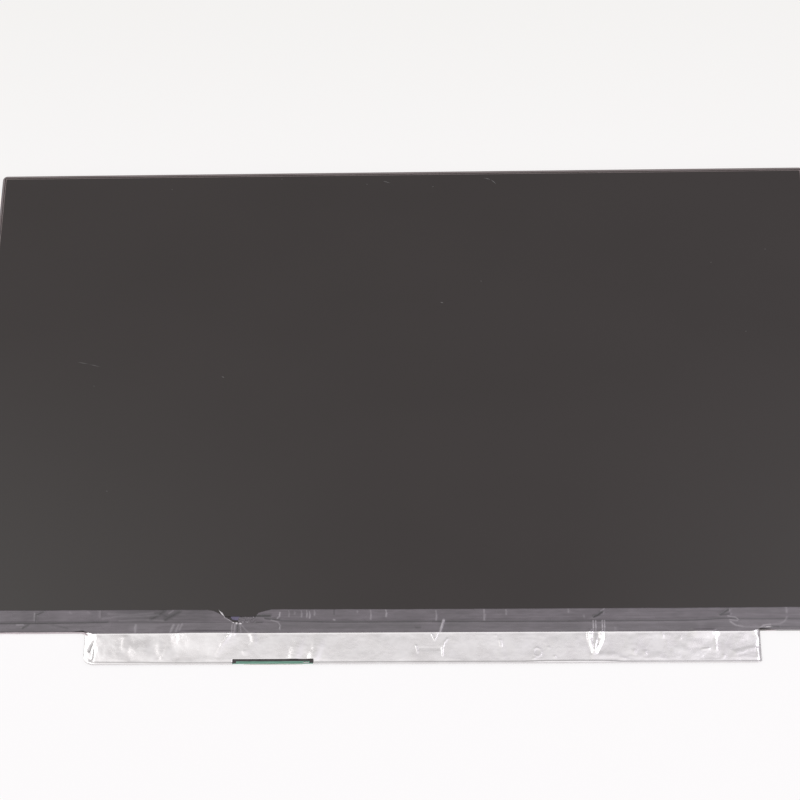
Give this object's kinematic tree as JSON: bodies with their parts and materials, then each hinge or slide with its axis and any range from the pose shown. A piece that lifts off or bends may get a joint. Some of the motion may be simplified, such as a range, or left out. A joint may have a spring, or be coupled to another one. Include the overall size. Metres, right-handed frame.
{
  "type": "laptop screen panel",
  "caption": "Slim edge-lit laptop screen panel with a matt dark screen in a thin frame, a torn black tape along its lower edge and a foil-wrapped control board below.",
  "frame": {"origin": "middle of the whole outline, board included, on the rear face that the panel lies on", "axes": "+X to the right and +Y to the top of the picture, seen from the front; +Z out of the screen"},
  "size_m": [0.3158, 0.1976, 0.0029],
  "materials": {
    "frame_plastic": "satin black moulded plastic",
    "cover_metal": "plain rolled sheet",
    "reflector_film": "white reflecting film",
    "guide_acrylic": "clear acrylic plate",
    "diffuser_film": "matt translucent film",
    "prism_film": "finely grooved clear film",
    "adhesive_tape": "double-sided tape",
    "amber_film": "amber circuit film",
    "emitter_resin": "yellow phosphor resin in a white case",
    "polariser_film": "dark polarising film",
    "display_glass": "thin polished glass with a fine circuit",
    "filter_glass": "thin glass with a dark colour filter",
    "screen_front": "matt anti-glare film over the switched-off screen",
    "driver_silicon": "bare silicon, mirror smooth",
    "board_laminate": "green solder mask over glass fibre",
    "insulating_black": "thin black insulating film",
    "chip_resin": "black moulding resin",
    "inductor_ferrite": "dark grey pressed ferrite",
    "capacitor_ceramic": "tan ceramic with tinned ends",
    "resistor_body": "black coated ceramic with tinned ends",
    "socket_plastic": "ivory moulded plastic",
    "socket_steel": "tinned spring steel",
    "contact_metal": "gold-plated bronze",
    "foil_aluminium": "bright crumpled foil",
    "tape_black": "satin black film with a purple-grey sheen"
  },
  "bodies": {
    "root": {"array_glass": "display_glass", "back_cover": "cover_metal", "backlight_driver": "chip_resin", "ceramic_capacitors": "capacitor_ceramic", "chip_resistors": "resistor_body", "connector_contacts": "contact_metal", "connector_housing": "socket_plastic", "connector_shell": "socket_steel", "control_board": "board_laminate", "cover_tape": "tape_black", "diffuser_sheet": "diffuser_film", "filter_glass": "filter_glass", "foil_shield": "foil_aluminium", "front_polariser": "screen_front", "insulating_film": "insulating_black", "light_bar_flex": "amber_film", "light_bar_tape": "adhesive_tape", "light_emitters": "emitter_resin", "light_guide": "guide_acrylic", "link_film_1": "amber_film", "link_film_2": "amber_film", "link_film_3": "amber_film", "link_film_4": "amber_film", "lower_prism_sheet": "prism_film", "memory_chip": "chip_resin", "mould_frame": "frame_plastic", "power_chip": "chip_resin", "power_inductor_1": "inductor_ferrite", "power_inductor_2": "inductor_ferrite", "rear_polariser": "polariser_film", "reflector_sheet": "reflector_film", "rim_tape": "adhesive_tape", "source_driver_1": "driver_silicon", "source_driver_2": "driver_silicon", "source_driver_3": "driver_silicon", "source_driver_4": "driver_silicon", "timing_controller": "chip_resin", "upper_prism_sheet": "prism_film"}
  },
  "joints": []
}
